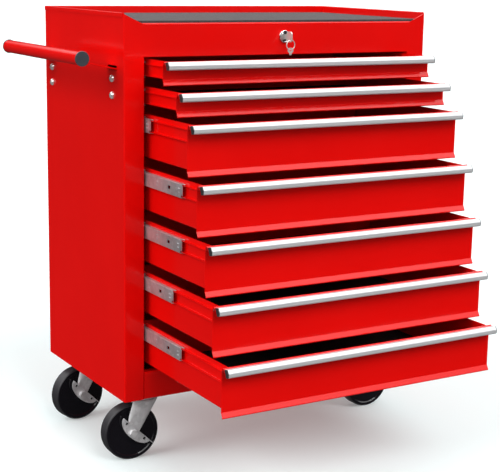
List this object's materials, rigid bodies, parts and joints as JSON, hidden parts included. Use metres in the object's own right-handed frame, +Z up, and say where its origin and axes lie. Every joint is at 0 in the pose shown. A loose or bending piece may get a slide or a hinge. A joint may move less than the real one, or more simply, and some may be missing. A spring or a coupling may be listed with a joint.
{
  "type": "rolling tool box",
  "caption": "Rolling steel tool box with drawers on ball slides, aluminium pulls, a tubular side handle, a keyed lock, a matted top tray and casters.",
  "frame": {"origin": "on the floor, at the centre of the whole box with the drawers standing open as at rest", "axes": "+Z up; +Y towards the back of the cabinet, so the drawers open towards -Y; +X to the viewer's right when facing the drawers"},
  "size_m": [0.6848, 0.6112, 0.76],
  "materials": {
    "red_paint": "gloss powder coat",
    "zinc": "bright zinc plate",
    "pull_aluminium": "satin anodised",
    "cap_black": "matt moulded",
    "grey_cap": "matt moulded",
    "mat_rubber": "ribbed rubber",
    "bright_bolt": "nickel plated",
    "lock_chrome": "polished",
    "key_nickel": "nickel plated brass",
    "wheel_black": "gloss moulded"
  },
  "bodies": {
    "cabinet": {"side_panel_left": "red_paint", "side_panel_right": "red_paint", "back_panel": "red_paint", "top_tray": "red_paint", "front_fascia": "red_paint", "base_pan": "red_paint", "rear_posts": "red_paint", "work_mat": "mat_rubber", "fixed_runners": "zinc", "handle_tube": "red_paint", "handle_caps": "grey_cap", "handle_arms": "red_paint", "handle_bolts": "bright_bolt", "lock_housing": "lock_chrome", "caster_plates": "zinc", "caster_bolts": "zinc", "rigid_forks": "zinc", "rigid_axles": "zinc"},
    "runners_1": {"drawer_1_runners": "zinc"},
    "drawer_1": {"drawer_1_box": "red_paint", "drawer_1_pull": "pull_aluminium", "drawer_1_caps": "cap_black"},
    "runners_2": {"drawer_2_runners": "zinc"},
    "drawer_2": {"drawer_2_box": "red_paint", "drawer_2_pull": "pull_aluminium", "drawer_2_caps": "cap_black"},
    "runners_3": {"drawer_3_runners": "zinc"},
    "drawer_3": {"drawer_3_box": "red_paint", "drawer_3_pull": "pull_aluminium", "drawer_3_caps": "cap_black"},
    "runners_4": {"drawer_4_runners": "zinc"},
    "drawer_4": {"drawer_4_box": "red_paint", "drawer_4_pull": "pull_aluminium", "drawer_4_caps": "cap_black"},
    "runners_5": {"drawer_5_runners": "zinc"},
    "drawer_5": {"drawer_5_box": "red_paint", "drawer_5_pull": "pull_aluminium", "drawer_5_caps": "cap_black"},
    "runners_6": {"drawer_6_runners": "zinc"},
    "drawer_6": {"drawer_6_box": "red_paint", "drawer_6_pull": "pull_aluminium", "drawer_6_caps": "cap_black"},
    "runners_7": {"drawer_7_runners": "zinc"},
    "drawer_7": {"drawer_7_box": "red_paint", "drawer_7_pull": "pull_aluminium", "drawer_7_caps": "cap_black"},
    "caster_front": {"swivel_fork_front": "zinc", "swivel_axle_front": "zinc"},
    "wheel_front_left": {"wheel_front_left": "wheel_black"},
    "wheel_front_right": {"wheel_front_right": "wheel_black"},
    "caster_rear": {"swivel_fork_rear": "zinc", "swivel_axle_rear": "zinc"},
    "wheel_rear_left": {"wheel_rear_left": "wheel_black"},
    "wheel_rear_right": {"wheel_rear_right": "wheel_black"},
    "lock": {"lock_plug": "lock_chrome", "key": "key_nickel"},
    "lock_bar": {"lock_bar": "zinc"},
    "key_ring": {"key_ring": "key_nickel"},
    "spare_key": {"spare_key": "key_nickel"}
  },
  "joints": [
    {"name": "runners_1_slide", "type": "slide", "parent": "cabinet", "child": "runners_1", "axis": [0, -1, 0], "range_m": [0, 0.142]},
    {"name": "drawer_1_slide", "type": "slide", "parent": "runners_1", "child": "drawer_1", "axis": [0, -1, 0], "range_m": [-0.062, 0.08]},
    {"name": "runners_2_slide", "type": "slide", "parent": "cabinet", "child": "runners_2", "axis": [0, -1, 0], "range_m": [0, 0.142]},
    {"name": "drawer_2_slide", "type": "slide", "parent": "runners_2", "child": "drawer_2", "axis": [0, -1, 0], "range_m": [-0.108, 0.034]},
    {"name": "runners_3_slide", "type": "slide", "parent": "cabinet", "child": "runners_3", "axis": [0, -1, 0], "range_m": [-0.031, 0.111]},
    {"name": "drawer_3_slide", "type": "slide", "parent": "runners_3", "child": "drawer_3", "axis": [0, -1, 0], "range_m": [-0.114, 0.028]},
    {"name": "runners_4_slide", "type": "slide", "parent": "cabinet", "child": "runners_4", "axis": [0, -1, 0], "range_m": [-0.142, 0]},
    {"name": "drawer_4_slide", "type": "slide", "parent": "runners_4", "child": "drawer_4", "axis": [0, -1, 0], "range_m": [-0.035, 0.107]},
    {"name": "runners_5_slide", "type": "slide", "parent": "cabinet", "child": "runners_5", "axis": [0, -1, 0], "range_m": [-0.141, 0.001]},
    {"name": "drawer_5_slide", "type": "slide", "parent": "runners_5", "child": "drawer_5", "axis": [0, -1, 0], "range_m": [-0.064, 0.078]},
    {"name": "runners_6_slide", "type": "slide", "parent": "cabinet", "child": "runners_6", "axis": [0, -1, 0], "range_m": [-0.113, 0.029]},
    {"name": "drawer_6_slide", "type": "slide", "parent": "runners_6", "child": "drawer_6", "axis": [0, -1, 0], "range_m": [-0.117, 0.025]},
    {"name": "runners_7_slide", "type": "slide", "parent": "cabinet", "child": "runners_7", "axis": [0, -1, 0], "range_m": [-0.142, 0]},
    {"name": "drawer_7_slide", "type": "slide", "parent": "runners_7", "child": "drawer_7", "axis": [0, -1, 0], "range_m": [-0.118, 0.024]},
    {"name": "caster_front_swivel", "type": "hinge", "parent": "cabinet", "child": "caster_front", "pos_m": [-0.20455, 0.02135, 0.105], "axis": [0, 0, 1], "continuous": true},
    {"name": "wheel_front_left_spin", "type": "hinge", "parent": "caster_front", "child": "wheel_front_left", "pos_m": [-0.22754, 0.02215, 0.049], "axis": [0.0349, 0.9994, 0], "continuous": true},
    {"name": "wheel_front_right_spin", "type": "hinge", "parent": "cabinet", "child": "wheel_front_right", "pos_m": [0.29345, 0.05835, 0.049], "axis": [0, 1, 0], "continuous": true},
    {"name": "caster_rear_swivel", "type": "hinge", "parent": "cabinet", "child": "caster_rear", "pos_m": [-0.20455, 0.25235, 0.105], "axis": [0, 0, 1], "continuous": true},
    {"name": "wheel_rear_left_spin", "type": "hinge", "parent": "caster_rear", "child": "wheel_rear_left", "pos_m": [-0.22733, 0.24915, 0.049], "axis": [-0.1392, 0.9903, 0], "continuous": true},
    {"name": "wheel_rear_right_spin", "type": "hinge", "parent": "cabinet", "child": "wheel_rear_right", "pos_m": [0.29345, 0.22035, 0.049], "axis": [0, 1, 0], "continuous": true},
    {"name": "lock_turn", "type": "hinge", "parent": "cabinet", "child": "lock", "pos_m": [0.03945, -0.02565, 0.72], "axis": [0, 1, 0], "range_deg": [0, 90]},
    {"name": "lock_bar_slide", "type": "slide", "parent": "cabinet", "child": "lock_bar", "axis": [0, 0, -1], "range_m": [0, 0.005]},
    {"name": "key_ring_swing", "type": "hinge", "parent": "lock", "child": "key_ring", "pos_m": [0.03945, -0.04665, 0.715], "axis": [1, 0, 0], "range_deg": [-45, 10]},
    {"name": "spare_key_swing", "type": "hinge", "parent": "key_ring", "child": "spare_key", "pos_m": [0.03945, -0.04665, 0.699], "axis": [0.7071, 0.7071, 0], "range_deg": [-40, 10]}
  ],
  "couplings": [
    {"joint": "lock_turn", "follows": "lock_bar_slide", "rad_per_m": 314.16}
  ]
}
